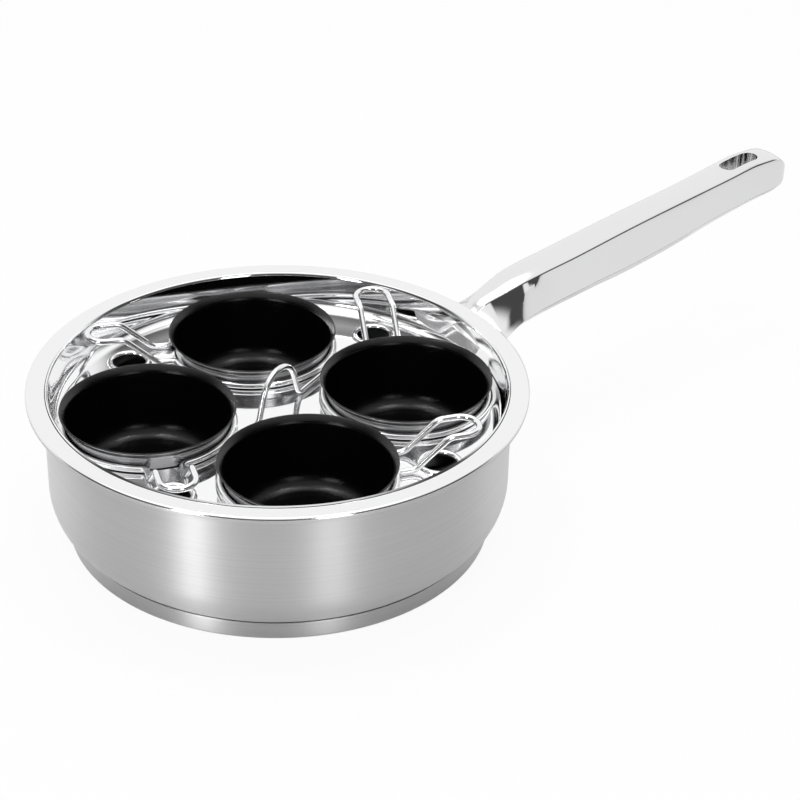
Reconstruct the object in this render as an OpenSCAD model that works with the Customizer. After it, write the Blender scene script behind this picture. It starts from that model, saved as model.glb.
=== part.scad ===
// Egg poacher pan: a steel pan with a hollow handle, a lift-out tray and four coated cups in wire holders.
// Millimetres. Origin at the centre of the base's underside, +Z up, handle along +X.

/* [Pan] */
// Outside diameter of the rim
rim_d = 220; // [200:1:260]
// Height of the rim's inner edge above the table
pan_h = 70.6; // [64:0.2:100]
// Width of the flat rim outside the wall
flange_w = 7.6; // [4:0.2:12]
// How far the flat rim slopes down to its edge
flange_drop = 0.3; // [0:0.1:1.5]
// Thickness of the pan's sheet
pan_t = 1.2; // [0.8:0.1:1.6]
// Radius where the wall turns into the rim, at the pan's inside
mouth_r = 1.2; // [0.8:0.1:1.4]
// Outside radius of the rounded lower wall
belly_r = 21.6; // [15:0.2:26]

/* [Base] */
// How far the base capsule stands in from the pan's wall
cap_inset = 8.2; // [5:0.2:15]
// Thickness of the capsule's steel
cap_t = 0.6; // [0.4:0.1:1]
// Thickness of the aluminium disc
core_t = 3.5; // [2.5:0.1:6]
// Radius of the capsule's lower edge
cap_edge_r = 1.6; // [1:0.1:3]

/* [Handle] */
// Reach of the handle from the pan's wall to its tip
handle_len = 220.5; // [160:0.5:260]
// Greatest width of the handle's top
handle_w = 17.2; // [14:0.2:22]
// Height of the top's crown, as a share of its half width
handle_crown = 0.25; // [0.15:0.01:0.35]
// Height of the handle's ridge above the table, near the tip
handle_top = 94.4; // [88:0.2:110]
// Height of the handle's underside at the wall
handle_foot = 59.4; // [54:0.2:60]
// Width of the flared root at the wall
root_w = 53; // [44:1:60]
// Thickness of the handle's sheet
handle_t = 1.3; // [1:0.1:1.6]
// Length of the hanging slot
slot_len = 23.5; // [18:0.5:30]
// Width of the hanging slot
slot_w = 9.2; // [5:0.2:9.4]
// Distance from the slot's far end to the tip
slot_end = 22; // [14:0.5:28]

/* [Tray] */
// Depth of the tray's plate below the pan's rim
tray_depth = 16; // [12:0.5:18]
// Thickness of the tray's sheet
tray_t = 0.7; // [0.5:0.1:1]
// How far the tray's wall leans in from its lip to its plate
tray_draft = 1.3; // [0.5:0.1:2]
// Inside radius between the tray's plate and wall
tray_fillet = 2.5; // [1.5:0.1:3]
// How the tray is turned in the pan, against the handle
tray_turn = -24.6; // [-45:0.1:45]
// Radius of the four steam holes
steam_r = 7.3; // [5:0.1:8]
// Radius of the raised bead round a steam hole
steam_edge = 1.4; // [1.1:0.1:2]
// Plate left between a steam hole's bead and the tray's wall
steam_margin = 8.2; // [5:0.2:9]

/* [Cups] */
// Plate left between a cup's hole and the tray's wall
cup_margin = 5.5; // [3:0.1:9]
// Space left between the rings round two neighbouring cups
ring_apart = 4.35; // [2:0.05:10]
// Height of a cup's rim above the tray's plate
cup_rise = 9.2; // [8:0.1:14]
// Full height of a cup
cup_h = 32.8; // [24:0.2:36]
// Slope of a cup's wall, in degrees
cup_draft = 8; // [4:0.5:12]
// Width of the flare at a cup's rim
flare_w = 2; // [1:0.1:2.4]
// Height of the flare
flare_h = 2.9; // [1.5:0.1:4]
// Outside radius of a cup's bottom edge
cup_edge_r = 9; // [5:0.5:11]
// Thickness of a cup's coated sheet
cup_t = 0.8; // [0.6:0.1:1.2]

/* [Wires] */
// Diameter of every wire
wire_d = 2.8; // [2:0.1:3.2]
// Width of a holder's loop, between wire centres
loop_w = 15.2; // [12:0.2:18]
// Least space left between a loop and the tray's lip
loop_gap = 0.75; // [0.5:0.05:6]
// Length of a holder's flat arms, from its ring to the foot of the slope
arm_len = 7.6; // [6:0.2:10]
// Run of the slope from the arms up to the loop
slope_run = 15; // [9:0.5:18]
// Height of a loop's wire centre above the plate
loop_z = 15; // [10:0.5:20]
// Radius of the bends from the ring into the loop
ring_bend = 3; // [2:0.2:4]
// Radius of the bends at both ends of the slope
slope_bend = 6; // [2.5:0.5:8]
// How far each of the four loops is turned round its cup
loop_turn = [1, -1.5, 3.5, -1.2]; // [-1.5:0.1:6]
// Height of the tray loop's top, at its wire centre, above the plate
arch_z = 21.2; // [16:0.2:30]
// Radius of the tray loop's top
arch_r = 13; // [9:0.5:16]
// Radius of the bends at the tray loop's feet
arch_bend = 4; // [2:0.5:6]
// Lean of the tray loop's legs, in degrees
arch_lean = 20; // [5:1:30]
// Length of the tray loop's straight feet
foot_len = 14; // [8:0.5:16]

/* [Fits] */
// Clearance between pieces that lift apart
fit_gap = 0.3; // [0.25:0.05:0.5]
// Clearance between a cup and the edge of its hole in the tray
hole_gap = 0.6; // [0.4:0.05:0.9]
// Clearance at a welded seam
weld_gap = 0.05; // [0.02:0.01:0.1]

/* [Hidden] */
$fn = 96;
round_steps = 8;
wire_sides = 10;
slack = 1;

// Pan
rim_r = rim_d / 2;
wall_r = rim_r - flange_w;
bore_r = wall_r - pan_t;
cap_r = wall_r - cap_inset;
base_h = cap_t + core_t;
belly_x = wall_r - belly_r;
belly_z = base_h + belly_r;

// Tray, and the cups as large as it has room for, each at its own angle round it
cup_angles = [180, 90, 270, 0];
plate_z = pan_h - tray_depth;
tray_r = bore_r - fit_gap;
tray_foot_r = tray_r - tray_draft;
lip_r = tray_r - tray_t;
steam_place = tray_foot_r - steam_margin - 2 * steam_edge - steam_r;
wire_r = wire_d / 2;
ring_z = plate_z + fit_gap + wire_r;
ring_out = tan(cup_draft) * (ring_z - plate_z) + fit_gap + wire_d;
cup_room = tray_foot_r - cup_margin - hole_gap;
cup_place = (2 * (cup_room + ring_out) + ring_apart) / (2 + sqrt(2));
cup_r = cup_room - cup_place;
hole_r = cup_r + hole_gap;
ring_r = cup_r + ring_out - wire_r;
cup_rim_z = plate_z + cup_rise;
cup_floor_z = cup_rim_z - cup_h;

// Handle
tip_x = wall_r + handle_len;
root_x = bore_r - root_w * root_w / (8 * bore_r) - slack;
tip_round = 17;
slot_x = tip_x - slot_end - slot_len / 2;

// Points of an arc from angle a0 to angle a1
function arc(cx, cy, r, a0, a1, n = round_steps) =
    [for (i = [0:n]) let (a = a0 + (a1 - a0) * i / n) [cx + r * cos(a), cy + r * sin(a)]];

function reversed(points) = [for (i = [len(points) - 1:-1:0]) points[i]];

// Smooth curve through a few key points, each a place and a value
function slope_at(keys, i) =
    let (a = keys[max(i - 1, 0)], b = keys[min(i + 1, len(keys) - 1)]) (b[1] - a[1]) / (b[0] - a[0]);
function span_at(keys, x, i = 0) =
    i >= len(keys) - 2 || x < keys[i + 1][0] ? i : span_at(keys, x, i + 1);
function smooth(keys, x) =
    let (
        i = span_at(keys, x),
        w = keys[i + 1][0] - keys[i][0],
        t = min(1, max(0, (x - keys[i][0]) / w))
    )
    (2 * pow(t, 3) - 3 * t * t + 1) * keys[i][1] + (pow(t, 3) - 2 * t * t + t) * w * slope_at(keys, i)
    + (3 * t * t - 2 * pow(t, 3)) * keys[i + 1][1] + (pow(t, 3) - t * t) * w * slope_at(keys, i + 1);

// Solid through a row of cross-sections, each with as many points. A closed row joins its last to its first.
module skin(sections, closed = false) {
    n = len(sections[0]);
    m = len(sections);
    spans = closed ? m : m - 1;
    sides = [
        for (i = [0:spans - 1], j = [0:n - 1], half = [0, 1])
            let (a = i * n + j, b = i * n + (j + 1) % n, next_a = (a + n) % (n * m), next_b = (b + n) % (n * m))
            half == 0 ? [a, b, next_b] : [a, next_b, next_a]
    ];
    ends = closed ? [] : [[for (j = [n - 1:-1:0]) j], [for (j = [0:n - 1]) (m - 1) * n + j]];
    polyhedron([for (s = sections, p = s) p], concat(sides, ends), convexity = 8);
}

// Round wire along a row of centre points, none of them running straight up
function unit(v) = v / norm(v);
module wire(path, closed = false) {
    m = len(path);
    skin([
        for (i = [0:m - 1])
            let (
                before = closed ? path[(i + m - 1) % m] : path[max(i - 1, 0)],
                after = closed ? path[(i + 1) % m] : path[min(i + 1, m - 1)],
                ahead = unit(after - before),
                side = unit([-ahead[1], ahead[0], 0]),
                up = cross(ahead, side)
            )
            [for (k = [0:wire_sides - 1]) let (a = -360 * k / wire_sides)
                path[i] + wire_r * (cos(a) * side + sin(a) * up)]
    ], closed);
}

// Angle on the belly, from its lowest point, where its outside reaches radius r
function belly_angle(r) = asin((r - belly_x) / belly_r);
function belly(r, a0, a1, n = round_steps) = arc(belly_x, belly_z, r, a0 - 90, a1 - 90, n);
core_a = belly_angle(cap_r - cap_t);
cap_a = belly_angle(cap_r);

module pan_body() {
    under_z = pan_h - flange_drop - pan_t;
    throat_z = pan_h - mouth_r - pan_t;
    flange_a = atan(flange_drop / (flange_w - mouth_r));
    color("gainsboro")
    rotate_extrude()
    polygon(concat(
        [[0, base_h]],
        belly(belly_r, 0, core_a),
        belly(belly_r, core_a, cap_a, 2),
        belly(belly_r, cap_a, 90),
        [[wall_r, throat_z]],
        arc(wall_r + mouth_r, throat_z, mouth_r, 180, 90 + flange_a, 5),
        [[rim_r, under_z], [rim_r, under_z + pan_t * 0.75]],
        [[rim_r - pan_t * 0.25, pan_h - flange_drop]],
        arc(wall_r, pan_h - mouth_r, mouth_r, 90, 180, 5),
        reversed(belly(belly_r - pan_t, 0, 90)),
        [[0, base_h + pan_t]]
    ));
}

module base_core() {
    color("silver")
    rotate_extrude()
    polygon(concat(
        [[0, cap_t], [cap_r - cap_t, cap_t]],
        reversed(belly(belly_r, 0, core_a)),
        [[0, base_h]]
    ));
}

module base_cap() {
    color("lightgray")
    rotate_extrude()
    polygon(concat(
        [[0, 0]],
        arc(cap_r - cap_edge_r, cap_edge_r, cap_edge_r, -90, 0),
        reversed(belly(belly_r, core_a, cap_a, 2)),
        [[cap_r - cap_t, cap_t], [0, cap_t]]
    ));
}

// The handle's run, as distances from the wall. Heights are set against the root and the tip.
crown_room = 2.2;
root_z = pan_h - flange_drop - pan_t - crown_room;
rise = handle_top - root_z;
drop = handle_top - handle_foot;
function along(share) = wall_r + share * handle_len;
top_half = [
    [root_x, 0.42], [along(0.034), 0.45], [along(0.062), 0.6], [along(0.108), 0.8], [along(0.167), 0.95],
    [along(0.276), 0.99], [along(0.374), 0.99], [along(0.58), 0.95], [along(0.69), 0.95], [along(0.79), 1],
    [along(0.86), 1], [tip_x, 0.95],
];
ridge_z = [
    [root_x, 0], [along(0.034), 0.035], [along(0.062), 0.18], [along(0.108), 0.29], [along(0.167), 0.4],
    [along(0.305), 0.52], [along(0.463), 0.67], [along(0.69), 0.85], [along(0.79), 0.94], [along(0.855), 1],
    [along(0.9), 1], [along(0.94), 0.975], [along(0.969), 0.851], [along(0.985), 0.749], [tip_x, 0.622],
];
crease_half = [
    [root_x, 0.9], [wall_r, 0.85], [along(0.03), 0.73], [along(0.061), 0.6], [along(0.084), 0.51],
    [along(0.109), 0.445], [along(0.133), 0.42], [along(0.159), 0.4], [along(0.19), 0.35], [along(0.22), 0.32],
    [tip_x, 0.32],
];
crease_z = [
    [root_x, 0.78], [along(0.03), 0.62], [along(0.044), 0.4], [along(0.061), 0.396], [along(0.084), 0.53],
    [along(0.109), 0.727], [along(0.133), 0.83], [along(0.159), 0.97], [along(0.19), 1], [tip_x, 1],
];
foot_half = [
    [root_x, 1], [wall_r, 0.98], [along(0.03), 0.89], [along(0.078), 0.72], [along(0.126), 0.57],
    [along(0.16), 0.5], [along(0.22), 0.42], [along(0.31), 0.35], [along(0.445), 0.34], [along(0.69), 0.31],
    [along(0.85), 0.29], [tip_x, 0.28],
];
foot_z = [
    [root_x, 0], [along(0.29), 0], [along(0.39), 0.044], [along(0.48), 0.083], [along(0.61), 0.18],
    [along(0.74), 0.313], [along(0.87), 0.415], [along(0.955), 0.457], [along(0.985), 0.531], [tip_x, 0.603],
];

// How far the plan has closed at place x: 1 along the run, 0 at the tip
function tip_share(x) =
    let (e = max(0, tip_x - x) / tip_round) e >= 1 ? 1 : sqrt(max(0.0004, 1 - pow(1 - e, 2)));

// One cross-section at place x, cut back by t on every side. part is "top" or "under".
function section(x, t, part) =
    let (
        q = tip_share(x + t),
        half = max(0.3, smooth(top_half, x) * handle_w / 2 * q - t),
        ridge = root_z + rise * smooth(ridge_z, x) - t,
        crown = handle_crown * (half + t),
        bottom = handle_foot + drop * smooth(foot_z, x),
        deep = ridge + t - bottom,
        crease_w = max(half + 0.1, smooth(crease_half, x) * root_w / 2 * q - t),
        crease = bottom + (deep - 1.6) * smooth(crease_z, x),
        seam_w = max(half + 0.1, (smooth(foot_half, x) * root_w / 2 + 0.3) * q - t),
        seam = bottom + max(2.2, deep * 0.17),
        foot_w = max(0.3, smooth(foot_half, x) * root_w / 2 * q - 1.5 - t * 1.2),
        floor_z = bottom + t,
        dome = [for (a = [-90:22.5:90]) [x, half * sin(a), ridge + crown * cos(a)]],
        top = concat(dome, [[x, crease_w, crease], [x, seam_w, seam]], [[x, -seam_w, seam], [x, -crease_w, crease]]),
        under = [
            [x, seam_w, seam], [x, foot_w, floor_z + 0.4], [x, foot_w * 0.6, floor_z],
            [x, -foot_w * 0.6, floor_z], [x, -foot_w, floor_z + 0.4], [x, -seam_w, seam]
        ]
    )
    part == "top" ? top : under;

// Places of the cross-sections: close together at the neck and at the tip
neck_end = along(0.24);
run_end = tip_x - tip_round;
neck_steps = 14;
run_steps = 10;
places = concat(
    [for (i = [0:neck_steps - 1]) root_x + (neck_end - root_x) * i / neck_steps],
    [for (i = [0:run_steps - 1]) neck_end + (run_end - neck_end) * i / run_steps],
    [for (a = [0:15:90]) tip_x - tip_round * (1 - sin(a))]
);

module handle_solid(part, t = 0) {
    skin([for (x = places) if (x <= tip_x - t * 1.4) section(x, t, part)]);
}

// A stadium, for the hanging slot and the collar drawn round it
module slot_shape(grow = 0) {
    reach = (slot_len - slot_w) / 2;
    for (side = [-1, 1])
        translate([side * reach, 0]) circle(d = slot_w + 2 * grow);
    square([2 * reach, slot_w + 2 * grow], center = true);
}

module slot_column(grow = 0) {
    translate([slot_x, 0, handle_foot])
    linear_extrude(handle_top + handle_w - handle_foot)
    slot_shape(grow);
}

module pan_side() {
    cylinder(r = wall_r, h = pan_h);
}

// The hollow of one half, carried a little way past the seam into the other.
// The lower half is too shallow for one beyond the slot's near end.
module hollow(part) {
    far_x = part == "top" ? tip_x - handle_t * 1.4 : slot_x - slot_len / 2 - handle_t;
    skin([
        for (x = places) if (x <= far_x)
            let (s = section(x, handle_t, part), n = len(s))
            part == "top"
                ? [for (i = [0:n - 1]) i == n - 3 || i == n - 2 ? s[i] - [0, 0, slack] : s[i]]
                : [for (i = [0:n - 1]) i == 0 || i == n - 1 ? s[i] + [0, 0, slack] : s[i]]
    ]);
}

module handle_half(part) {
    difference() {
        handle_solid(part);
        difference() {
            hollow(part);
            slot_column(handle_t);
        }
        slot_column();
        pan_side();
    }
}

module handle_upper() {
    color("whitesmoke") handle_half("top");
}

module handle_lower() {
    color("lightgray") handle_half("under");
}

// Places the four cups or steam holes round the centre
module at_cup(i) {
    rotate([0, 0, tray_turn + cup_angles[i - 1]])
    translate([cup_place, 0, 0])
    children();
}

module at_steam(i) {
    rotate([0, 0, tray_turn + 45 + 90 * i])
    translate([steam_place, 0, 0])
    children();
}

lip_a = 133;

module tray_dish() {
    lip_z = pan_h - mouth_r;
    rotate_extrude()
    polygon(concat(
        [[0, plate_z - tray_t]],
        arc(tray_foot_r - tray_fillet - tray_t, plate_z + tray_fillet, tray_fillet + tray_t, -90, 0, 6),
        arc(wall_r, lip_z, mouth_r + fit_gap, 180, lip_a, 4),
        arc(wall_r, lip_z, mouth_r + fit_gap + tray_t, lip_a, 180, 4),
        arc(tray_foot_r - tray_fillet - tray_t, plate_z + tray_fillet, tray_fillet, 0, -90, 6),
        [[0, plate_z]]
    ));
}

// Edge of a steam hole, rolled up into a half-round bead
bead_mid = steam_r + steam_edge;
bead_foot = bead_mid + steam_edge;
module steam_bead() {
    translate([0, 0, plate_z])
    rotate_extrude()
    polygon(concat(
        [[bead_foot, -tray_t]],
        arc(bead_mid, 0, steam_edge, 0, 180, 7),
        [[steam_r, -tray_t], [steam_r + tray_t, -tray_t]],
        arc(bead_mid, 0, steam_edge - tray_t, 180, 0, 7),
        [[bead_foot - tray_t, -tray_t]]
    ));
}

module tray() {
    color("white") {
        difference() {
            tray_dish();
            for (i = [1:4]) {
                at_cup(i) translate([0, 0, plate_z - slack - tray_t]) cylinder(r = hole_r, h = 2 * slack + tray_t);
                at_steam(i)
                translate([0, 0, plate_z - slack - tray_t])
                cylinder(r = bead_foot - tray_t / 2, h = 2 * slack + tray_t);
            }
        }
        for (i = [1:4]) at_steam(i) steam_bead();
    }
}

// Plan and height of a holder: a ring, two bends, a slope and the loop at its end
loop_r = loop_w / 2;
loop_reach = lip_r - loop_gap - loop_r - wire_r;
turn_min = min(loop_turn);
loop_x = cup_place * sin(turn_min) + sqrt(pow(loop_reach, 2) - pow(cup_place * cos(turn_min), 2));
slope_in = ring_r + arm_len;
slope_out = slope_in + slope_run;
bend_reach = ring_r + ring_bend;
ring_a = asin((loop_r + ring_bend) / bend_reach);
bend_x = bend_reach * cos(ring_a);
climb = loop_z + plate_z - ring_z;
slope_a = atan(climb / (slope_out - slope_in));
bend_run = slope_bend * tan(slope_a / 2);
function rounding(run) = slope_bend - sqrt(max(0, pow(slope_bend, 2) - pow(run, 2)));
function lift(x) =
    x < slope_in - bend_run ? 0
    : x < slope_in + bend_run * cos(slope_a) ? rounding(x - slope_in + bend_run)
    : x < slope_out - bend_run * cos(slope_a) ? (x - slope_in) * tan(slope_a)
    : x < slope_out + bend_run ? climb - rounding(slope_out + bend_run - x)
    : climb;
arm_plan = concat(
    arc(bend_x, -loop_r - ring_bend, ring_bend, 180 - ring_a, 90, 4),
    [for (i = [0:12]) [slope_in - bend_run + (slope_out - slope_in + 2 * bend_run) * i / 12, -loop_r]]
);
holder_plan = concat(
    arc(0, 0, ring_r, ring_a + 9, 351 - ring_a, 36),
    arm_plan,
    arc(loop_x, 0, loop_r, -90, 90, 12),
    [for (p = reversed(arm_plan)) [p[0], -p[1]]]
);

module holder(i) {
    color("silver")
    at_cup(i)
    rotate([0, 0, 90 + loop_turn[i - 1]])
    translate([0, 0, ring_z])
    wire([for (p = holder_plan) [p[0], p[1], lift(p[0])]], closed = true);
}

// The tray loop as an upright line: a foot, a bend, a leg, and half of the arch
arch_turn = 90 - arch_lean;
foot_h = wire_r + weld_gap;
leg_h = arch_z - foot_h - (arch_bend + arch_r) * (1 - cos(arch_turn));
knee_x = (arch_bend + arch_r) * sin(arch_turn) + leg_h / tan(arch_turn);
half_arch = concat(
    [[-knee_x - foot_len, foot_h]],
    arc(-knee_x, foot_h + arch_bend, arch_bend, -90, -arch_lean, 5),
    arc(0, arch_z - arch_r, arch_r, 90 + arch_turn, 90, 9)
);
arch_line = concat(half_arch, [for (i = [len(half_arch) - 2:-1:0]) [-half_arch[i][0], half_arch[i][1]]]);

module tray_loop() {
    color("silver")
    rotate([0, 0, tray_turn + 45])
    translate([0, 0, plate_z])
    wire([for (p = arch_line) [p[0], 0, p[1]]]);
}

// A cup's side from its floor to its rim, moved inwards by t
lean_w = tan(cup_draft);
neck_z = cup_rim_z - flare_h;
neck_r = cup_r + lean_w * (neck_z - plate_z);
cup_rim_r = neck_r + flare_w;
cup_edge_z = cup_floor_z + cup_edge_r;
cup_edge_x = cup_r - lean_w * (plate_z - cup_edge_z) - cup_edge_r / cos(cup_draft);
flare_a = atan(flare_h / flare_w);
fold_a = (90 - cup_draft - flare_a) / 2;
function cup_line(t) = concat(
    [[0, cup_floor_z + t]],
    arc(cup_edge_x, cup_edge_z, cup_edge_r - t, -90, -cup_draft),
    [[neck_r - t * sin(flare_a + fold_a) / cos(fold_a), neck_z + t * cos(flare_a + fold_a) / cos(fold_a)]],
    [[cup_rim_r - t * sin(flare_a), cup_rim_z + t * cos(flare_a)]]
);

module cup(i) {
    color("dimgray")
    at_cup(i)
    rotate_extrude()
    polygon(concat(cup_line(0), reversed(cup_line(cup_t))));
}

pan_body();
base_core();
base_cap();
handle_upper();
handle_lower();
tray();
tray_loop();
for (i = [1:4]) {
    cup(i);
    holder(i);
}
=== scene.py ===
import math

import bmesh
import bpy
from mathutils import Matrix, Vector


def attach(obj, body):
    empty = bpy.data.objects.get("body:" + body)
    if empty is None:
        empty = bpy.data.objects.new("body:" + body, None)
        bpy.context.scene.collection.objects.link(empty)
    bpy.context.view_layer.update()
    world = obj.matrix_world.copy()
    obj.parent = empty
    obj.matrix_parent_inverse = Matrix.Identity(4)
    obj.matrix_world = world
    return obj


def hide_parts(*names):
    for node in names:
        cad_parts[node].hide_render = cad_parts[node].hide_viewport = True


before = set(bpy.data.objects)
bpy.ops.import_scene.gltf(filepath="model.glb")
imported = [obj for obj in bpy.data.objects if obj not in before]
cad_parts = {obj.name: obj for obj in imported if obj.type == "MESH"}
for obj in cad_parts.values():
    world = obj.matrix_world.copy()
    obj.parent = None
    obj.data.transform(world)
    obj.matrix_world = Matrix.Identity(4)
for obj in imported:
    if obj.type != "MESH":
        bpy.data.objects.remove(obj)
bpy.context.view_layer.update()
scene = bpy.context.scene

# Camera: the photograph's angle, from a camera fitted to the ellipses of the rim, base and cups.
# The lens is given for a 36 mm sensor and a square picture.
cam_place = (-0.50139, -0.67759, 0.56067)
cam_heading, cam_tilt, cam_roll = -40.126, 59.328, 1.333
cam_data = bpy.data.cameras.new("camera")
cam_data.lens = 100.04
cam_data.sensor_width = 36
cam = bpy.data.objects.new("camera", cam_data)
scene.collection.objects.link(cam)
cam.matrix_world = (
    Matrix.Translation(cam_place)
    @ Matrix.Rotation(math.radians(cam_heading), 4, "Z")
    @ Matrix.Rotation(math.radians(cam_tilt), 4, "X")
    @ Matrix.Rotation(math.radians(cam_roll), 4, "Z")
)
scene.camera = cam

# Studio: a white sweep behind the object and overhead, and a dim room low down behind the camera.
# The camera sees plain white; polished metal sees the sweep and, turned the other way, the dim room.
sweep_side = (0.595, 0.804, 0)
sweep_starts, sweep_full = 0.05, 0.55
over_starts, over_full = 0.56, 0.86
room_tone, sweep_tone = 0.07, 1.0
scene.view_settings.view_transform = "Standard"
world = bpy.data.worlds.new("studio")
scene.world = world
world.use_nodes = True
wn, wl = world.node_tree.nodes, world.node_tree.links
wn.clear()
w_out = wn.new("ShaderNodeOutputWorld")
w_coord = wn.new("ShaderNodeTexCoord")
w_away = wn.new("ShaderNodeVectorMath")
w_away.operation = "DOT_PRODUCT"
w_away.inputs[1].default_value = sweep_side
w_sweep = wn.new("ShaderNodeMapRange")
w_sweep.interpolation_type = "SMOOTHSTEP"
w_sweep.inputs["From Min"].default_value = sweep_starts
w_sweep.inputs["From Max"].default_value = sweep_full
w_split = wn.new("ShaderNodeSeparateXYZ")
w_over = wn.new("ShaderNodeMapRange")
w_over.interpolation_type = "SMOOTHSTEP"
w_over.inputs["From Min"].default_value = over_starts
w_over.inputs["From Max"].default_value = over_full
w_most = wn.new("ShaderNodeMath")
w_most.operation = "MAXIMUM"
w_tone = wn.new("ShaderNodeMapRange")
w_tone.inputs["To Min"].default_value = room_tone
w_tone.inputs["To Max"].default_value = sweep_tone
w_room = wn.new("ShaderNodeBackground")
w_white = wn.new("ShaderNodeBackground")
w_white.inputs["Color"].default_value = (1, 1, 1, 1)
w_path = wn.new("ShaderNodeLightPath")
w_shiny = wn.new("ShaderNodeMath")
w_shiny.operation = "MAXIMUM"
w_behind = wn.new("ShaderNodeMath")
w_behind.operation = "MULTIPLY"
w_seen = wn.new("ShaderNodeMath")
w_seen.operation = "MAXIMUM"
w_mix = wn.new("ShaderNodeMixShader")
for giver, taker in (
    (w_coord.outputs["Generated"], w_away.inputs[0]),
    (w_coord.outputs["Generated"], w_split.inputs["Vector"]),
    (w_away.outputs["Value"], w_sweep.inputs["Value"]),
    (w_split.outputs["Z"], w_over.inputs["Value"]),
    (w_sweep.outputs["Result"], w_most.inputs[0]),
    (w_over.outputs["Result"], w_most.inputs[1]),
    (w_most.outputs["Value"], w_tone.inputs["Value"]),
    (w_tone.outputs["Result"], w_room.inputs["Color"]),
    (w_path.outputs["Is Glossy Ray"], w_shiny.inputs[0]),
    (w_path.outputs["Is Transmission Ray"], w_shiny.inputs[1]),
    (w_shiny.outputs["Value"], w_behind.inputs[0]),
    (w_sweep.outputs["Result"], w_behind.inputs[1]),
    (w_path.outputs["Is Camera Ray"], w_seen.inputs[0]),
    (w_behind.outputs["Value"], w_seen.inputs[1]),
    (w_seen.outputs["Value"], w_mix.inputs["Fac"]),
    (w_room.outputs["Background"], w_mix.inputs[1]),
    (w_white.outputs["Background"], w_mix.inputs[2]),
    (w_mix.outputs["Shader"], w_out.inputs["Surface"]),
):
    wl.new(giver, taker)

# Lamps: a wide soft box overhead, an upright one on each side of the camera, and two small bright ones
# overhead that leave the pair of glints at the bottom of each cup.
# Each is (name, place, what it faces, width, height, power).
for name, place, target, wide, high, power in (
    ("soft_top", (0.1, 0.3, 1.3), (0.05, 0, 0), 1.2, 1.0, 3.2),
    ("soft_left", (-1.202, -0.342, 0.35), (0, 0, 0.04), 0.22, 1.0, 5.3),
    ("soft_right", (-0.311, -1.211, 0.35), (0, 0, 0.04), 0.3, 1.0, 3.1),
    ("small_over_left", (-0.244, 0.258, 1.35), (0, 0, 0.05), 0.1, 0.1, 2.0),
    ("small_over_right", (0.318, -0.158, 1.35), (0, 0, 0.05), 0.1, 0.1, 2.0),
):
    lamp = bpy.data.lights.new(name, "AREA")
    lamp.shape = "RECTANGLE"
    lamp.size = wide
    lamp.size_y = high
    lamp.energy = power
    lamp_obj = bpy.data.objects.new(name, lamp)
    scene.collection.objects.link(lamp_obj)
    lamp_obj.location = place
    lamp_obj.rotation_euler = (Vector(target) - Vector(place)).to_track_quat("-Z", "Y").to_euler()

# Floor: a plain pale sheet that the pan stands on, white to the camera except in the pan's shadow.
# It glows faintly where the metal mirrors it, and lies a hair below the pan so that the two don't meet.
floor_half, floor_drop = 4, 0.0003
floor_grey, floor_glow, floor_white = 0.8, 0.04, 0.93
floor_mesh = bpy.data.meshes.new("floor")
floor_mesh.from_pydata(
    [(x * floor_half, y * floor_half, -floor_drop) for x, y in ((-1, -1), (1, -1), (1, 1), (-1, 1))],
    [],
    [(0, 1, 2, 3)],
)
floor = bpy.data.objects.new("floor", floor_mesh)
scene.collection.objects.link(floor)
floor_mat = bpy.data.materials.new("floor_pale")
floor_mat.use_nodes = True
fn, fl = floor_mat.node_tree.nodes, floor_mat.node_tree.links
fn.clear()
f_out = fn.new("ShaderNodeOutputMaterial")
f_plain = fn.new("ShaderNodeBsdfDiffuse")
f_plain.inputs["Color"].default_value = (floor_grey, floor_grey, floor_grey, 1)
f_white = fn.new("ShaderNodeEmission")
f_white.inputs["Color"].default_value = (1, 1, 1, 1)
f_path = fn.new("ShaderNodeLightPath")
f_shiny = fn.new("ShaderNodeMath")
f_shiny.operation = "MAXIMUM"
f_glow = fn.new("ShaderNodeMath")
f_glow.operation = "MULTIPLY"
f_glow.inputs[1].default_value = floor_glow
f_share = fn.new("ShaderNodeMath")
f_share.operation = "MULTIPLY_ADD"
f_share.inputs[1].default_value = floor_white
f_mix = fn.new("ShaderNodeMixShader")
for giver, taker in (
    (f_path.outputs["Is Glossy Ray"], f_shiny.inputs[0]),
    (f_path.outputs["Is Transmission Ray"], f_shiny.inputs[1]),
    (f_shiny.outputs["Value"], f_glow.inputs[0]),
    (f_path.outputs["Is Camera Ray"], f_share.inputs[0]),
    (f_glow.outputs["Value"], f_share.inputs[2]),
    (f_share.outputs["Value"], f_mix.inputs["Fac"]),
    (f_plain.outputs["BSDF"], f_mix.inputs[1]),
    (f_white.outputs["Emission"], f_mix.inputs[2]),
    (f_mix.outputs["Shader"], f_out.inputs["Surface"]),
):
    fl.new(giver, taker)
floor_mesh.materials.append(floor_mat)

# Pan: a bowl of stainless steel sheet, drawn in one piece from its floor up over the rounded belly and the
# wall to the flat rim, whose edge is turned down.
# Its outside is brushed round the wall; the rim and the mouth's edge are polished, with a steel of their own.
mm = 0.001
sheet, bore_r, rim_r = 1.2, 101.2, 110.0
floor_z, rim_z, belly_r = 4.1, 70.6, 21.6
rim_crown, lip_r = 0.2, 0.45
straight_low_z, straight_high_z = 45, 60
mouth_z, polish_end_z = 55, 40
wall_r = bore_r + sheet


def arc(cx, cz, r, a0, a1, n):
    steps = [math.radians(a0 + (a1 - a0) * i / n) for i in range(n + 1)]
    return [(cx + r * math.cos(a), cz + r * math.sin(a)) for a in steps]


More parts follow.
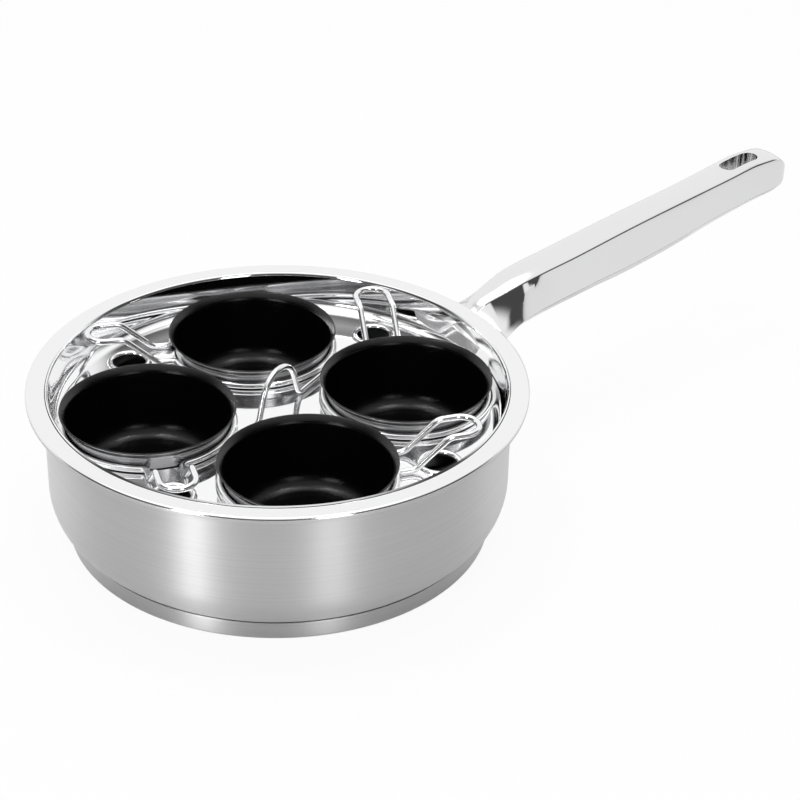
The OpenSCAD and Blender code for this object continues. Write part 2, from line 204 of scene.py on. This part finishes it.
def lathe(name, loop, body, place=(0, 0), steps=288, sharp=35, zones=None):
    bm = bmesh.new()
    uv = bm.loops.layers.uv.new("round")
    run = [0]
    for (r0, z0), (r1, z1) in zip(loop, loop[1:] + loop[:1]):
        run.append(run[-1] + math.hypot(r1 - r0, z1 - z0) * mm)
    px, py = place[0] * mm, place[1] * mm
    rows = []
    for j in range(steps):
        a = 2 * math.pi * j / steps
        points = [(px + r * mm * math.cos(a), py + r * mm * math.sin(a), z * mm) for r, z in loop]
        rows.append([bm.verts.new(point) for point in points])
    n = len(loop)
    for j in range(steps):
        k = (j + 1) % steps
        for i in range(n):
            m = (i + 1) % n
            if loop[i][0] < 1e-6 and loop[m][0] < 1e-6:
                continue
            face = bm.faces.new((rows[j][i], rows[k][i], rows[k][m], rows[j][m]))
            face.material_index = zones(i) if zones else 0
            corners = ((j, run[i]), (j + 1, run[i]), (j + 1, run[i + 1]), (j, run[i + 1]))
            for corner, (u, v) in zip(face.loops, corners):
                corner[uv].uv = (u / steps, v)
    bmesh.ops.remove_doubles(bm, verts=bm.verts, dist=1e-7)
    bmesh.ops.recalc_face_normals(bm, faces=bm.faces)
    mesh = bpy.data.meshes.new(name)
    bm.to_mesh(mesh)
    bm.free()
    mesh.shade_smooth()
    mesh.set_sharp_from_angle(angle=math.radians(sharp))
    piece = bpy.data.objects.new(name, mesh)
    scene.collection.objects.link(piece)
    if body:
        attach(piece, body)
    return piece


pan_outside = (
    [(0, floor_z)]
    + arc(wall_r - belly_r, floor_z + belly_r, belly_r, -90, 0, 30)
    + [(wall_r, straight_low_z), (wall_r, straight_high_z), (wall_r, rim_z - 2 * sheet)]
    + arc(wall_r + sheet, rim_z - 2 * sheet, sheet, 180, 92, 8)
    + [(rim_r - 1.4, rim_z - 1.5), (rim_r - 1, rim_z - 1.7)]
    + arc(rim_r - lip_r, rim_z - 1.8, lip_r, 200, 340, 6)
)
pan_rim = (
    arc(rim_r - sheet, rim_z + rim_crown - sheet, sheet, 0, 88, 12)
    + [(rim_r - 4, rim_z + rim_crown - 0.05)]
    + arc(wall_r, rim_z - sheet, sheet, 88, 180, 8)
    + [(bore_r, mouth_z)]
)
pan_inside = (
    [(bore_r, polish_end_z)]
    + arc(wall_r - belly_r, floor_z + belly_r, belly_r - sheet, 0, -90, 30)
    + [(0, floor_z + sheet)]
)
polish_from, polish_to = len(pan_outside) + 2, len(pan_outside + pan_rim)
pan = lathe(
    "pan",
    pan_outside + pan_rim + pan_inside,
    "pan",
    steps=384,
    zones=lambda i: 1 if polish_from <= i < polish_to else 0,
)
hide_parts("pan_body")

fine_brush, broad_brush = (6, 9000, 1), (3, 900, 1)
darkest_steel, palest_steel = 0.62, 0.72
pan_mat = bpy.data.materials.new("brushed_pan_steel")
pan_mat.use_nodes = True
pn, pl = pan_mat.node_tree.nodes, pan_mat.node_tree.links
pb = pn["Principled BSDF"]
pb.inputs["Metallic"].default_value = 1
pb.inputs["Roughness"].default_value = 0.44
pb.inputs["Anisotropic"].default_value = 0.9
pb.inputs["Anisotropic Rotation"].default_value = 0.25
p_tan = pn.new("ShaderNodeTangent")
p_tan.direction_type = "RADIAL"
p_tan.axis = "Z"
p_uv = pn.new("ShaderNodeUVMap")
p_uv.uv_map = "round"
p_stretch = pn.new("ShaderNodeMapping")
p_stretch.inputs["Scale"].default_value = fine_brush
p_lines = pn.new("ShaderNodeTexNoise")
p_lines.inputs["Scale"].default_value = 1
p_lines.inputs["Detail"].default_value = 4
p_broad = pn.new("ShaderNodeMapping")
p_broad.inputs["Scale"].default_value = broad_brush
p_bands = pn.new("ShaderNodeTexNoise")
p_bands.inputs["Scale"].default_value = 1
p_bands.inputs["Detail"].default_value = 3
p_sum = pn.new("ShaderNodeMix")
p_sum.inputs["Factor"].default_value = 0.4
p_tone = pn.new("ShaderNodeMapRange")
p_tone.inputs["From Min"].default_value = 0.3
p_tone.inputs["From Max"].default_value = 0.7
p_tone.inputs["To Min"].default_value = darkest_steel
p_tone.inputs["To Max"].default_value = palest_steel
p_bump = pn.new("ShaderNodeBump")
p_bump.inputs["Strength"].default_value = 0.12
p_bump.inputs["Distance"].default_value = 0.0002
for giver, taker in (
    (p_tan.outputs["Tangent"], pb.inputs["Tangent"]),
    (p_uv.outputs["UV"], p_stretch.inputs["Vector"]),
    (p_uv.outputs["UV"], p_broad.inputs["Vector"]),
    (p_stretch.outputs["Vector"], p_lines.inputs["Vector"]),
    (p_broad.outputs["Vector"], p_bands.inputs["Vector"]),
    (p_lines.outputs["Fac"], p_sum.inputs["A"]),
    (p_bands.outputs["Fac"], p_sum.inputs["B"]),
    (p_sum.outputs["Result"], p_tone.inputs["Value"]),
    (p_tone.outputs["Result"], pb.inputs["Base Color"]),
    (p_sum.outputs["Result"], p_bump.inputs["Height"]),
    (p_bump.outputs["Normal"], pb.inputs["Normal"]),
):
    pl.new(giver, taker)
pan.data.materials.append(pan_mat)


# A slow unevenness in polished sheet bends what it mirrors, and a finer one varies its gloss a little.
def polished(name, colour, rough, wave, wave_size):
    mat = bpy.data.materials.new(name)
    mat.use_nodes = True
    nodes, links = mat.node_tree.nodes, mat.node_tree.links
    shader = nodes["Principled BSDF"]
    shader.inputs["Metallic"].default_value = 1
    shader.inputs["Base Color"].default_value = colour
    coord = nodes.new("ShaderNodeTexCoord")
    slow = nodes.new("ShaderNodeTexNoise")
    slow.inputs["Scale"].default_value = wave_size
    slow.inputs["Detail"].default_value = 1
    fine = nodes.new("ShaderNodeTexNoise")
    fine.inputs["Scale"].default_value = 60
    fine.inputs["Detail"].default_value = 2
    spread = nodes.new("ShaderNodeMapRange")
    spread.inputs["From Min"].default_value = 0.3
    spread.inputs["From Max"].default_value = 0.7
    spread.inputs["To Min"].default_value = rough * 0.9
    spread.inputs["To Max"].default_value = rough * 1.1
    bump = nodes.new("ShaderNodeBump")
    bump.inputs["Strength"].default_value = wave
    bump.inputs["Distance"].default_value = 0.002
    for giver, taker in (
        (coord.outputs["Object"], slow.inputs["Vector"]),
        (coord.outputs["Object"], fine.inputs["Vector"]),
        (fine.outputs["Fac"], spread.inputs["Value"]),
        (spread.outputs["Result"], shader.inputs["Roughness"]),
        (slow.outputs["Fac"], bump.inputs["Height"]),
        (bump.outputs["Normal"], shader.inputs["Normal"]),
    ):
        links.new(giver, taker)
    return mat


pan.data.materials.append(polished("polished_rim_steel", (0.88, 0.88, 0.882, 1), 0.10, 0.02, 20))

# Base: a shallow capsule of the same brushed steel round an aluminium disc that spreads the heat.
# It is fixed under the pan's floor, and a fine seam shows where it meets the belly.
cap_r, cap_bend, cap_top, cap_lip = 94.5, 1.6, 8.1, 0.22
cap_loop = (
    [(0, 0)]
    + arc(cap_r - cap_bend, cap_bend, cap_bend, -90, 0, 8)
    + arc(cap_r - cap_lip, cap_top, cap_lip, 0, 130, 6)
    + [(cap_r - 1.1, cap_top - 0.6), (cap_r - 1.9, cap_top - 0.9), (wall_r - belly_r, floor_z), (0, floor_z)]
)
cap = lathe("base_capsule", cap_loop, "pan", steps=384)
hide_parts("base_cap", "base_core")
cap.data.materials.append(pan_mat)

# Tray: one polished steel pressing, a flat plate with four cup holes and four steam holes in raised beads,
# and a low wall that hooks over the pan's mouth, where it hangs loose and lifts out.
# The plate is a filled curve, the wall is spun, and the beads repeat round the middle.
tray_mat = polished("polished_tray_steel", (0.93, 0.93, 0.935, 1), 0.06, 0.12, 14)
plate_z, tray_sheet = 54.6, 0.7
tray_turn = math.radians(-24.6)
cup_angles = {1: 180, 2: 90, 3: 270, 4: 0}
cup_place, cup_hole_r = 58, 36.1
steam_turn = tray_turn + math.radians(45)
steam_place, bead_r = 81.3, 8.7
bead_half, bead_fillet = 1.4, 0.5
bead_foot = bead_r + 1.833
foot_r, foot_bend, inner_bend = 99.6, 3.2, 4.5
plate_r = foot_r - foot_bend
slope_top_r, slope_top_z, hook_r = 100.2, 64, 2.2


def cup_middle(k):
    a = tray_turn + math.radians(cup_angles[k])
    return cup_place * math.cos(a), cup_place * math.sin(a)


plate_curve = bpy.data.curves.new("tray_plate", "CURVE")
plate_curve.dimensions = "2D"
plate_curve.fill_mode = "BOTH"
plate_curve.extrude = tray_sheet / 2 * mm
circles = [(0, 0, plate_r, 288)]
for k, angle in cup_angles.items():
    circles.append((*cup_middle(k), cup_hole_r, 144))
    a = steam_turn + math.radians(angle)
    circles.append((steam_place * math.cos(a), steam_place * math.sin(a), bead_foot, 72))
for cx, cy, r, n in circles:
    spline = plate_curve.splines.new("POLY")
    spline.points.add(n - 1)
    spline.use_cyclic_u = True
    for i in range(n):
        a = 2 * math.pi * i / n
        spline.points[i].co = ((cx + r * math.cos(a)) * mm, (cy + r * math.sin(a)) * mm, 0, 1)
plate_curve_obj = bpy.data.objects.new("tray_plate_curve", plate_curve)
plate_mesh = bpy.data.meshes.new_from_object(plate_curve_obj)
plate_mesh.name = "tray_plate"
plate_mesh.transform(Matrix.Translation((0, 0, (plate_z - tray_sheet / 2) * mm)))
plate_mesh.materials.clear()
bpy.data.objects.remove(plate_curve_obj)
plate = bpy.data.objects.new("tray_plate", plate_mesh)
scene.collection.objects.link(plate)
plate.data.materials.append(tray_mat)
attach(plate, "tray")

wall_loop = (
    [(plate_r, plate_z - tray_sheet)]
    + arc(plate_r, plate_z - tray_sheet + foot_bend, foot_bend, -90, 0, 12)
    + [(slope_top_r, slope_top_z)]
    + arc(wall_r, rim_z - sheet, hook_r - tray_sheet, 180, 133, 6)
    + arc(wall_r, rim_z - sheet, hook_r, 133, 180, 6)
    + [(slope_top_r - tray_sheet, slope_top_z)]
    + arc(foot_r - tray_sheet - inner_bend, plate_z + inner_bend, inner_bend, 0, -90, 14)
)
tray_wall = lathe("tray_wall", wall_loop, "tray", steps=384, sharp=50)
tray_wall.data.materials.append(tray_mat)
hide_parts("tray")

edge_loop = (
    arc(bead_foot, plate_z + bead_fillet, bead_fillet, 270, 195.3, 5)
    + arc(bead_r, plate_z, bead_half, 15.3, 180, 14)
    + [(bead_r - 1.4, plate_z - 0.55), (bead_r - 1.25, plate_z - 0.7), (bead_r - 0.85, plate_z - 0.65)]
    + arc(bead_r, plate_z, bead_half - tray_sheet, 180, 15, 8)
    + [(bead_r + 0.9, plate_z - 0.6), (bead_foot, plate_z - tray_sheet)]
)
one_edge = lathe("one_steam_hole_edge", edge_loop, None, steps=72, sharp=50)
ring_group = bpy.data.node_groups.new("round_the_tray", "GeometryNodeTree")
sockets = {}
for name, kind in (
    ("Geometry", "NodeSocketGeometry"),
    ("Holes", "NodeSocketInt"),
    ("Distance", "NodeSocketFloat"),
    ("Turn", "NodeSocketFloat"),
    ("Steel", "NodeSocketMaterial"),
):
    sockets[name] = ring_group.interface.new_socket(name, in_out="INPUT", socket_type=kind)
ring_group.interface.new_socket("Geometry", in_out="OUTPUT", socket_type="NodeSocketGeometry")
g_in = ring_group.nodes.new("NodeGroupInput")
g_out = ring_group.nodes.new("NodeGroupOutput")
g_circle = ring_group.nodes.new("GeometryNodeMeshCircle")
g_angle = ring_group.nodes.new("ShaderNodeCombineXYZ")
g_rotation = ring_group.nodes.new("FunctionNodeEulerToRotation")
g_turn = ring_group.nodes.new("GeometryNodeTransform")
g_copy = ring_group.nodes.new("GeometryNodeInstanceOnPoints")
g_real = ring_group.nodes.new("GeometryNodeRealizeInstances")
g_steel = ring_group.nodes.new("GeometryNodeSetMaterial")
for giver, taker in (
    (g_in.outputs["Holes"], g_circle.inputs["Vertices"]),
    (g_in.outputs["Distance"], g_circle.inputs["Radius"]),
    (g_in.outputs["Turn"], g_angle.inputs["Z"]),
    (g_angle.outputs["Vector"], g_rotation.inputs["Euler"]),
    (g_circle.outputs["Mesh"], g_turn.inputs["Geometry"]),
    (g_rotation.outputs["Rotation"], g_turn.inputs["Rotation"]),
    (g_turn.outputs["Geometry"], g_copy.inputs["Points"]),
    (g_in.outputs["Geometry"], g_copy.inputs["Instance"]),
    (g_copy.outputs["Instances"], g_real.inputs["Geometry"]),
    (g_real.outputs["Geometry"], g_steel.inputs["Geometry"]),
    (g_in.outputs["Steel"], g_steel.inputs["Material"]),
    (g_steel.outputs["Geometry"], g_out.inputs["Geometry"]),
):
    ring_group.links.new(giver, taker)
round_tray = one_edge.modifiers.new("round_the_tray", "NODES")
round_tray.node_group = ring_group
round_tray[sockets["Holes"].identifier] = len(cup_angles)
round_tray[sockets["Distance"].identifier] = steam_place * mm
round_tray[sockets["Turn"].identifier] = steam_turn
round_tray[sockets["Steel"].identifier] = tray_mat
bpy.context.view_layer.update()
edges_mesh = bpy.data.meshes.new_from_object(one_edge.evaluated_get(bpy.context.evaluated_depsgraph_get()))
edges_mesh.name = "steam_hole_edges"
bpy.data.objects.remove(one_edge)
steam_edges = bpy.data.objects.new("steam_hole_edges", edges_mesh)
scene.collection.objects.link(steam_edges)
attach(steam_edges, "tray")

# Cups: four deep round cups, drawn from steel sheet with a flared rim that rests on the holder's ring.
# They are satin steel outside and coated inside with one black non-stick in two copies: a paler, glossier
# copy on the rim, which is painted sheen, and a darker, duller copy deeper inside, which is painted shade.
cup_steel = polished("satin_cup_steel", (0.42, 0.42, 0.425, 1), 0.20, 0.05, 30)
coats = []
# Both coats are the same black non-stick. The rim copy's paler tone and stronger shine are painted sheen, and
# the inside copy's darker tone and weaker shine are painted shade.
for name, tone, shine, smoothest, roughest in (
    ("black_nonstick_painted_shade", 0.0015, 0.24, 0.12, 0.20),
    ("coated_rim_painted_sheen", 0.005, 0.35, 0.14, 0.24),
):
    coat = bpy.data.materials.new(name)
    coat.use_nodes = True
    cn, cl = coat.node_tree.nodes, coat.node_tree.links
    cb = cn["Principled BSDF"]
    cb.inputs["Base Color"].default_value = (tone, tone, tone, 1)
    cb.inputs["Specular IOR Level"].default_value = shine
    c_coord = cn.new("ShaderNodeTexCoord")
    c_grain = cn.new("ShaderNodeTexNoise")
    c_grain.inputs["Scale"].default_value = 1400
    c_grain.inputs["Detail"].default_value = 3
    c_rough = cn.new("ShaderNodeMapRange")
    c_rough.inputs["To Min"].default_value = smoothest
    c_rough.inputs["To Max"].default_value = roughest
    c_bump = cn.new("ShaderNodeBump")
    c_bump.inputs["Strength"].default_value = 0.5
    c_bump.inputs["Distance"].default_value = 0.0002
    for giver, taker in (
        (c_coord.outputs["Object"], c_grain.inputs["Vector"]),
        (c_grain.outputs["Fac"], c_rough.inputs["Value"]),
        (c_rough.outputs["Result"], cb.inputs["Roughness"]),
        (c_grain.outputs["Fac"], c_bump.inputs["Height"]),
        (c_bump.outputs["Normal"], cb.inputs["Normal"]),
    ):
        cl.new(giver, taker)
    coats.append(coat)
cup_sheet, cup_floor_z, cup_bend, cup_bend_x = 0.8, 31.0, 9.0, 24.36
cup_wall_r = 35.5
cup_outside = (
    [(0, cup_floor_z)]
    + arc(cup_bend_x, cup_floor_z + cup_bend, cup_bend, -90, -8, 14)
    + [(cup_wall_r, plate_z)]
    + [(36.3, 60.5), (36.45, 61.1), (36.75, 61.6)]
    + [(38.25, 63.7), (38.42, 64.0), (38.36, 64.25)]
)
cup_inside = (
    [(38.1, 64.42), (37.8, 64.3)]
    + [(36.1, 62.0), (35.75, 61.5), (35.6, 60.9)]
    + [(cup_wall_r - cup_sheet, plate_z)]
    + arc(cup_bend_x, cup_floor_z + cup_bend, cup_bend - cup_sheet, -8, -90, 14)
    + [(0, cup_floor_z + cup_sheet)]
)
# The faces between these two take the rim copy of the coat, the one with painted sheen.
sheen_rim_from, sheen_rim_to = len(cup_outside) - 2, len(cup_outside) + 2
for k in cup_angles:
    cup = lathe(
        f"cup_{k}_shell",
        cup_outside + cup_inside,
        f"cup_{k}",
        place=cup_middle(k),
        steps=192,
        sharp=60,
        zones=lambda i: 0 if i < sheen_rim_from else 2 if i < sheen_rim_to else 1,
    )
    cup.data.materials.append(cup_steel)
    for coat in coats:
        cup.data.materials.append(coat)
    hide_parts(f"cup_{k}")

# Cup holders: each is one closed steel wire, a ring under the cup's flare that turns out into a raised
# finger loop. It lies loose on the tray and carries its cup.
# Each is a curve with a round bevel, through the same points as the solid wire.
wire_mat = polished("polished_wire_steel", (0.88, 0.88, 0.885, 1), 0.14, 0.0, 20)
wire_r, ring_z, ring_r, ring_step = 1.4, 56.3, 37.438, 2
loop_r, loop_lift, bend_r, slope_r = 7.6, 15, 3.0, 6.0
slope_in, slope_out, loop_tip = 45.0, 60.0, 75.5
reach = ring_r + bend_r
ring_a = math.degrees(math.asin((loop_r + bend_r) / reach))
bend_x = reach * math.cos(math.radians(ring_a))
climb = loop_lift + plate_z - ring_z
slope_a = math.atan(climb / (slope_out - slope_in))
bend_run = slope_r * math.tan(slope_a / 2)
near_x, far_x = slope_in - bend_run, slope_out + bend_run


def lift(x):
    if x < near_x:
        return 0
    if x < slope_in + bend_run * math.cos(slope_a):
        return slope_r - math.sqrt(max(0, slope_r**2 - (x - near_x) ** 2))
    if x < slope_out - bend_run * math.cos(slope_a):
        return (x - slope_in) * math.tan(slope_a)
    if x < far_x:
        return climb - slope_r + math.sqrt(max(0, slope_r**2 - (far_x - x) ** 2))
    return climb


def wire(name, points, body, closed):
    curve = bpy.data.curves.new(name, "CURVE")
    curve.dimensions = "3D"
    curve.bevel_depth = wire_r * mm
    curve.bevel_resolution = 8
    curve.use_fill_caps = not closed
    spline = curve.splines.new("POLY")
    spline.points.add(len(points) - 1)
    spline.use_cyclic_u = closed
    spline.use_smooth = True
    for point, p in zip(spline.points, points):
        point.co = (p[0] * mm, p[1] * mm, p[2] * mm, 1)
    piece = bpy.data.objects.new(name, curve)
    scene.collection.objects.link(piece)
    curve.materials.append(wire_mat)
    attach(piece, body)
    return piece


arm = arc(bend_x, -loop_r - bend_r, bend_r, 180 - ring_a, 90, 12)
arm += [(near_x + (far_x - near_x) * i / 40, -loop_r) for i in range(41)]
plan = arc(0, 0, ring_r, ring_a + ring_step, 360 - ring_a - ring_step, 150) + arm
plan += arc(loop_tip - loop_r, 0, loop_r, -90, 90, 40)
plan += [(x, -y) for x, y in reversed(arm)]
loop_turns = {1: 1, 2: -1.5, 3: 3.5, 4: -1.2}
for k, loop_turn in loop_turns.items():
    cx, cy = cup_middle(k)
    a = tray_turn + math.radians(cup_angles[k] + 90 + loop_turn)
    points = [
        (cx + x * math.cos(a) - y * math.sin(a), cy + x * math.sin(a) + y * math.cos(a), ring_z + lift(x))
        for x, y in plan
    ]
    holder = wire(f"holder_{k}_wire", points, f"holder_{k}", True)
    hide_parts(f"holder_{k}")

# Tray loop: an upright arch of the same steel wire in the middle of the tray, for lifting it out.
# Its legs lean in towards the top and stand on two flat feet, which are spot-welded to the plate.
foot_h, foot_len, knee_r, arch_z, arch_r, lean = 1.45, 14, 4.0, 21.2, 13.0, 20.0
rise = 90 - lean
leg_h = arch_z - foot_h - (knee_r + arch_r) * (1 - math.cos(math.radians(rise)))
knee_x = (knee_r + arch_r) * math.sin(math.radians(rise)) + leg_h / math.tan(math.radians(rise))
half_arch = [(-knee_x - foot_len, foot_h), (-knee_x - foot_len / 2, foot_h)]
half_arch += arc(-knee_x, foot_h + knee_r, knee_r, -90, -lean, 12)
half_arch += arc(0, arch_z - arch_r, arch_r, 90 + rise, 90, 30)
arch = half_arch + [(-x, z) for x, z in reversed(half_arch[:-1])]
points = [(x * math.cos(steam_turn), x * math.sin(steam_turn), plate_z + z) for x, z in arch]
tray_loop = wire("tray_loop_wire", points, "tray", False)
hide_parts("tray_loop")

# Handle: two pressed halves of satin steel sheet, joined along a seam on each side and welded to the wall.
# The upper half is crowned and flared at the root, both close round at the tip, and a slot to hang the pan
# by goes through both. They are skins through the same sections, so that they meet at the seam.
handle_mat = polished("satin_handle_steel", (0.80, 0.80, 0.802, 1), 0.10, 0.10, 12)
handle_len, root_w, root_x, tip_x = 220.5, 53.0, 96.7, 322.9
grip_half, tip_run = 8.6, 17
ridge_root_z, ridge_rise = 66.9, 27.5
foot_root_z, foot_rise = 59.4, 35.0
slot_x, slot_half, slot_r = 289.15, 7.15, 4.6
cutter_z, cutter_h = 0.05, 0.06
crown, crease_drop = 0.25, 1.6
seam_least, seam_share, seam_out = 2.2, 0.17, 0.3
edge_drop, edge_in = 0.12, 0.15
foot_in, foot_round, foot_flat = 1.5, 0.4, 0.6
thinnest, least_flare, blunt_tip = 0.3, 0.1, 0.0004
root_step, grip_x, grip_step = 1.5, 155, 4.5
# Each shape is (distance along the handle, share of the full size), from the pan's wall at 0 to the tip at 1.
shapes = {
    "top_half": [(-0.026, 0.42), (0.034, 0.45), (0.062, 0.6), (0.108, 0.8), (0.167, 0.95), (0.276, 0.99),
                 (0.374, 0.99), (0.58, 0.95), (0.69, 0.95), (0.79, 1), (0.86, 1), (1, 0.95)],
    "ridge_z": [(-0.026, 0), (0.034, 0.035), (0.062, 0.18), (0.108, 0.29), (0.167, 0.4), (0.305, 0.52),
                (0.463, 0.67), (0.69, 0.85), (0.79, 0.94), (0.855, 1), (0.9, 1), (0.94, 0.975),
                (0.969, 0.851), (0.985, 0.749), (1, 0.622)],
    "crease_half": [(-0.026, 0.9), (0, 0.85), (0.03, 0.73), (0.061, 0.6), (0.084, 0.51), (0.109, 0.445),
                    (0.133, 0.42), (0.159, 0.4), (0.19, 0.35), (0.22, 0.32), (1, 0.32)],
    "crease_z": [(-0.026, 0.78), (0.03, 0.62), (0.044, 0.4), (0.061, 0.396), (0.084, 0.53), (0.109, 0.727),
                 (0.133, 0.83), (0.159, 0.97), (0.19, 1), (1, 1)],
    "foot_half": [(-0.026, 1), (0, 0.98), (0.03, 0.89), (0.078, 0.72), (0.126, 0.57), (0.16, 0.5),
                  (0.22, 0.42), (0.31, 0.35), (0.445, 0.34), (0.69, 0.31), (0.85, 0.29), (1, 0.28)],
    "foot_z": [(-0.026, 0), (0.29, 0), (0.39, 0.044), (0.48, 0.083), (0.61, 0.18), (0.74, 0.313),
               (0.87, 0.415), (0.955, 0.457), (0.985, 0.531), (1, 0.603)],
}


def smooth(name, d):
    k = shapes[name]
    i = max(i for i in range(len(k) - 1) if i == 0 or d >= k[i][0])
    slope = []
    for j in (i, i + 1):
        before, after = k[max(j - 1, 0)], k[min(j + 1, len(k) - 1)]
        slope.append((after[1] - before[1]) / (after[0] - before[0]))
    w = k[i + 1][0] - k[i][0]
    t = min(1, max(0, (d - k[i][0]) / w))
    return (
        (2 * t**3 - 3 * t * t + 1) * k[i][1]
        + (t**3 - 2 * t * t + t) * w * slope[0]
        + (3 * t * t - 2 * t**3) * k[i + 1][1]
        + (t**3 - t * t) * w * slope[1]
    )


def handle_section(x):
    along = (x - wall_r) / handle_len
    to_tip = max(0, tip_x - x) / tip_run
    close = 1 if to_tip >= 1 else math.sqrt(max(blunt_tip, 1 - (1 - to_tip) ** 2))
    half_w = max(thinnest, smooth("top_half", along) * grip_half * close)
    ridge = ridge_root_z + ridge_rise * smooth("ridge_z", along)
    bottom = foot_root_z + foot_rise * smooth("foot_z", along)
    deep = ridge - bottom
    crease_w = max(half_w + least_flare, smooth("crease_half", along) * root_w / 2 * close)
    crease = bottom + (deep - crease_drop) * smooth("crease_z", along)
    seam_w = max(half_w + least_flare, (smooth("foot_half", along) * root_w / 2 + seam_out) * close)
    seam = bottom + max(seam_least, deep * seam_share)
    foot_w = max(thinnest, smooth("foot_half", along) * root_w / 2 * close - foot_in)
    dome = [
        (half_w * math.sin(math.radians(a)), ridge + crown * half_w * math.cos(math.radians(a)))
        for a in range(0, 91, 10)
    ]
    side = [(crease_w, crease)]
    for t in (0.25, 0.5, 0.75):
        side.append((crease_w + (seam_w - crease_w) * t, crease + (seam - crease) * t))
    top = dome + side + [(seam_w, seam + edge_drop), (seam_w - edge_in, seam)]
    under = [(seam_w - edge_in, seam), (seam_w, seam - edge_drop), (foot_w, bottom + foot_round)]
    under += [(foot_w * foot_flat, bottom), (0, bottom)]
    return [[(x, y, z) for y, z in part] for part in (top, under)]


stations = [root_x + root_step * i for i in range(38)]
stations += [grip_x + grip_step * i for i in range(33)]
stations += [tip_x - tip_run * (1 - math.sin(math.radians(a))) for a in range(0, 91, 5)]
slot_outline = arc(slot_x + slot_half, 0, slot_r, -90, 90, 24)
slot_outline += arc(slot_x - slot_half, 0, slot_r, 90, 270, 24)
for part, name in ((0, "handle_top"), (1, "handle_under")):
    bm = bmesh.new()
    rings = []
    for x in stations:
        line = handle_section(x)[part]
        mirror = [(px, -py, pz) for px, py, pz in reversed(line) if abs(py) > 1e-6]
        rings.append([bm.verts.new((px * mm, py * mm, pz * mm)) for px, py, pz in line + mirror])
    for near, far in zip(rings, rings[1:]):
        for i in range(len(near)):
            j = (i + 1) % len(near)
            bm.faces.new((near[i], near[j], far[j], far[i]))
    bm.faces.new(rings[0])
    bm.faces.new(rings[-1])
    bmesh.ops.recalc_face_normals(bm, faces=bm.faces)
    mesh = bpy.data.meshes.new(name)
    bm.to_mesh(mesh)
    bm.free()
    mesh.shade_smooth()
    shell = bpy.data.objects.new(name, mesh)
    scene.collection.objects.link(shell)
    cutter_bm = bmesh.new()
    cutter_bm.faces.new([cutter_bm.verts.new((x * mm, y * mm, cutter_z)) for x, y in slot_outline])
    raised = bmesh.ops.extrude_face_region(cutter_bm, geom=cutter_bm.faces[:])
    raised_verts = [v for v in raised["geom"] if isinstance(v, bmesh.types.BMVert)]
    bmesh.ops.translate(cutter_bm, vec=(0, 0, cutter_h), verts=raised_verts)
    bmesh.ops.recalc_face_normals(cutter_bm, faces=cutter_bm.faces)
    cutter_mesh = bpy.data.meshes.new("slot_cutter")
    cutter_bm.to_mesh(cutter_mesh)
    cutter_bm.free()
    cutter = bpy.data.objects.new("slot_cutter", cutter_mesh)
    scene.collection.objects.link(cutter)
    cut = shell.modifiers.new("slot", "BOOLEAN")
    cut.operation = "DIFFERENCE"
    cut.solver = "EXACT"
    cut.object = cutter
    bpy.context.view_layer.update()
    done = bpy.data.meshes.new_from_object(shell.evaluated_get(bpy.context.evaluated_depsgraph_get()))
    shell.modifiers.clear()
    shell.data = done
    bpy.data.objects.remove(cutter)
    shell.data.shade_smooth()
    shell.data.set_sharp_from_angle(angle=math.radians(28))
    shell.data.materials.clear()
    shell.data.materials.append(handle_mat)
    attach(shell, "pan")
    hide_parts("handle_upper" if part == 0 else "handle_lower")
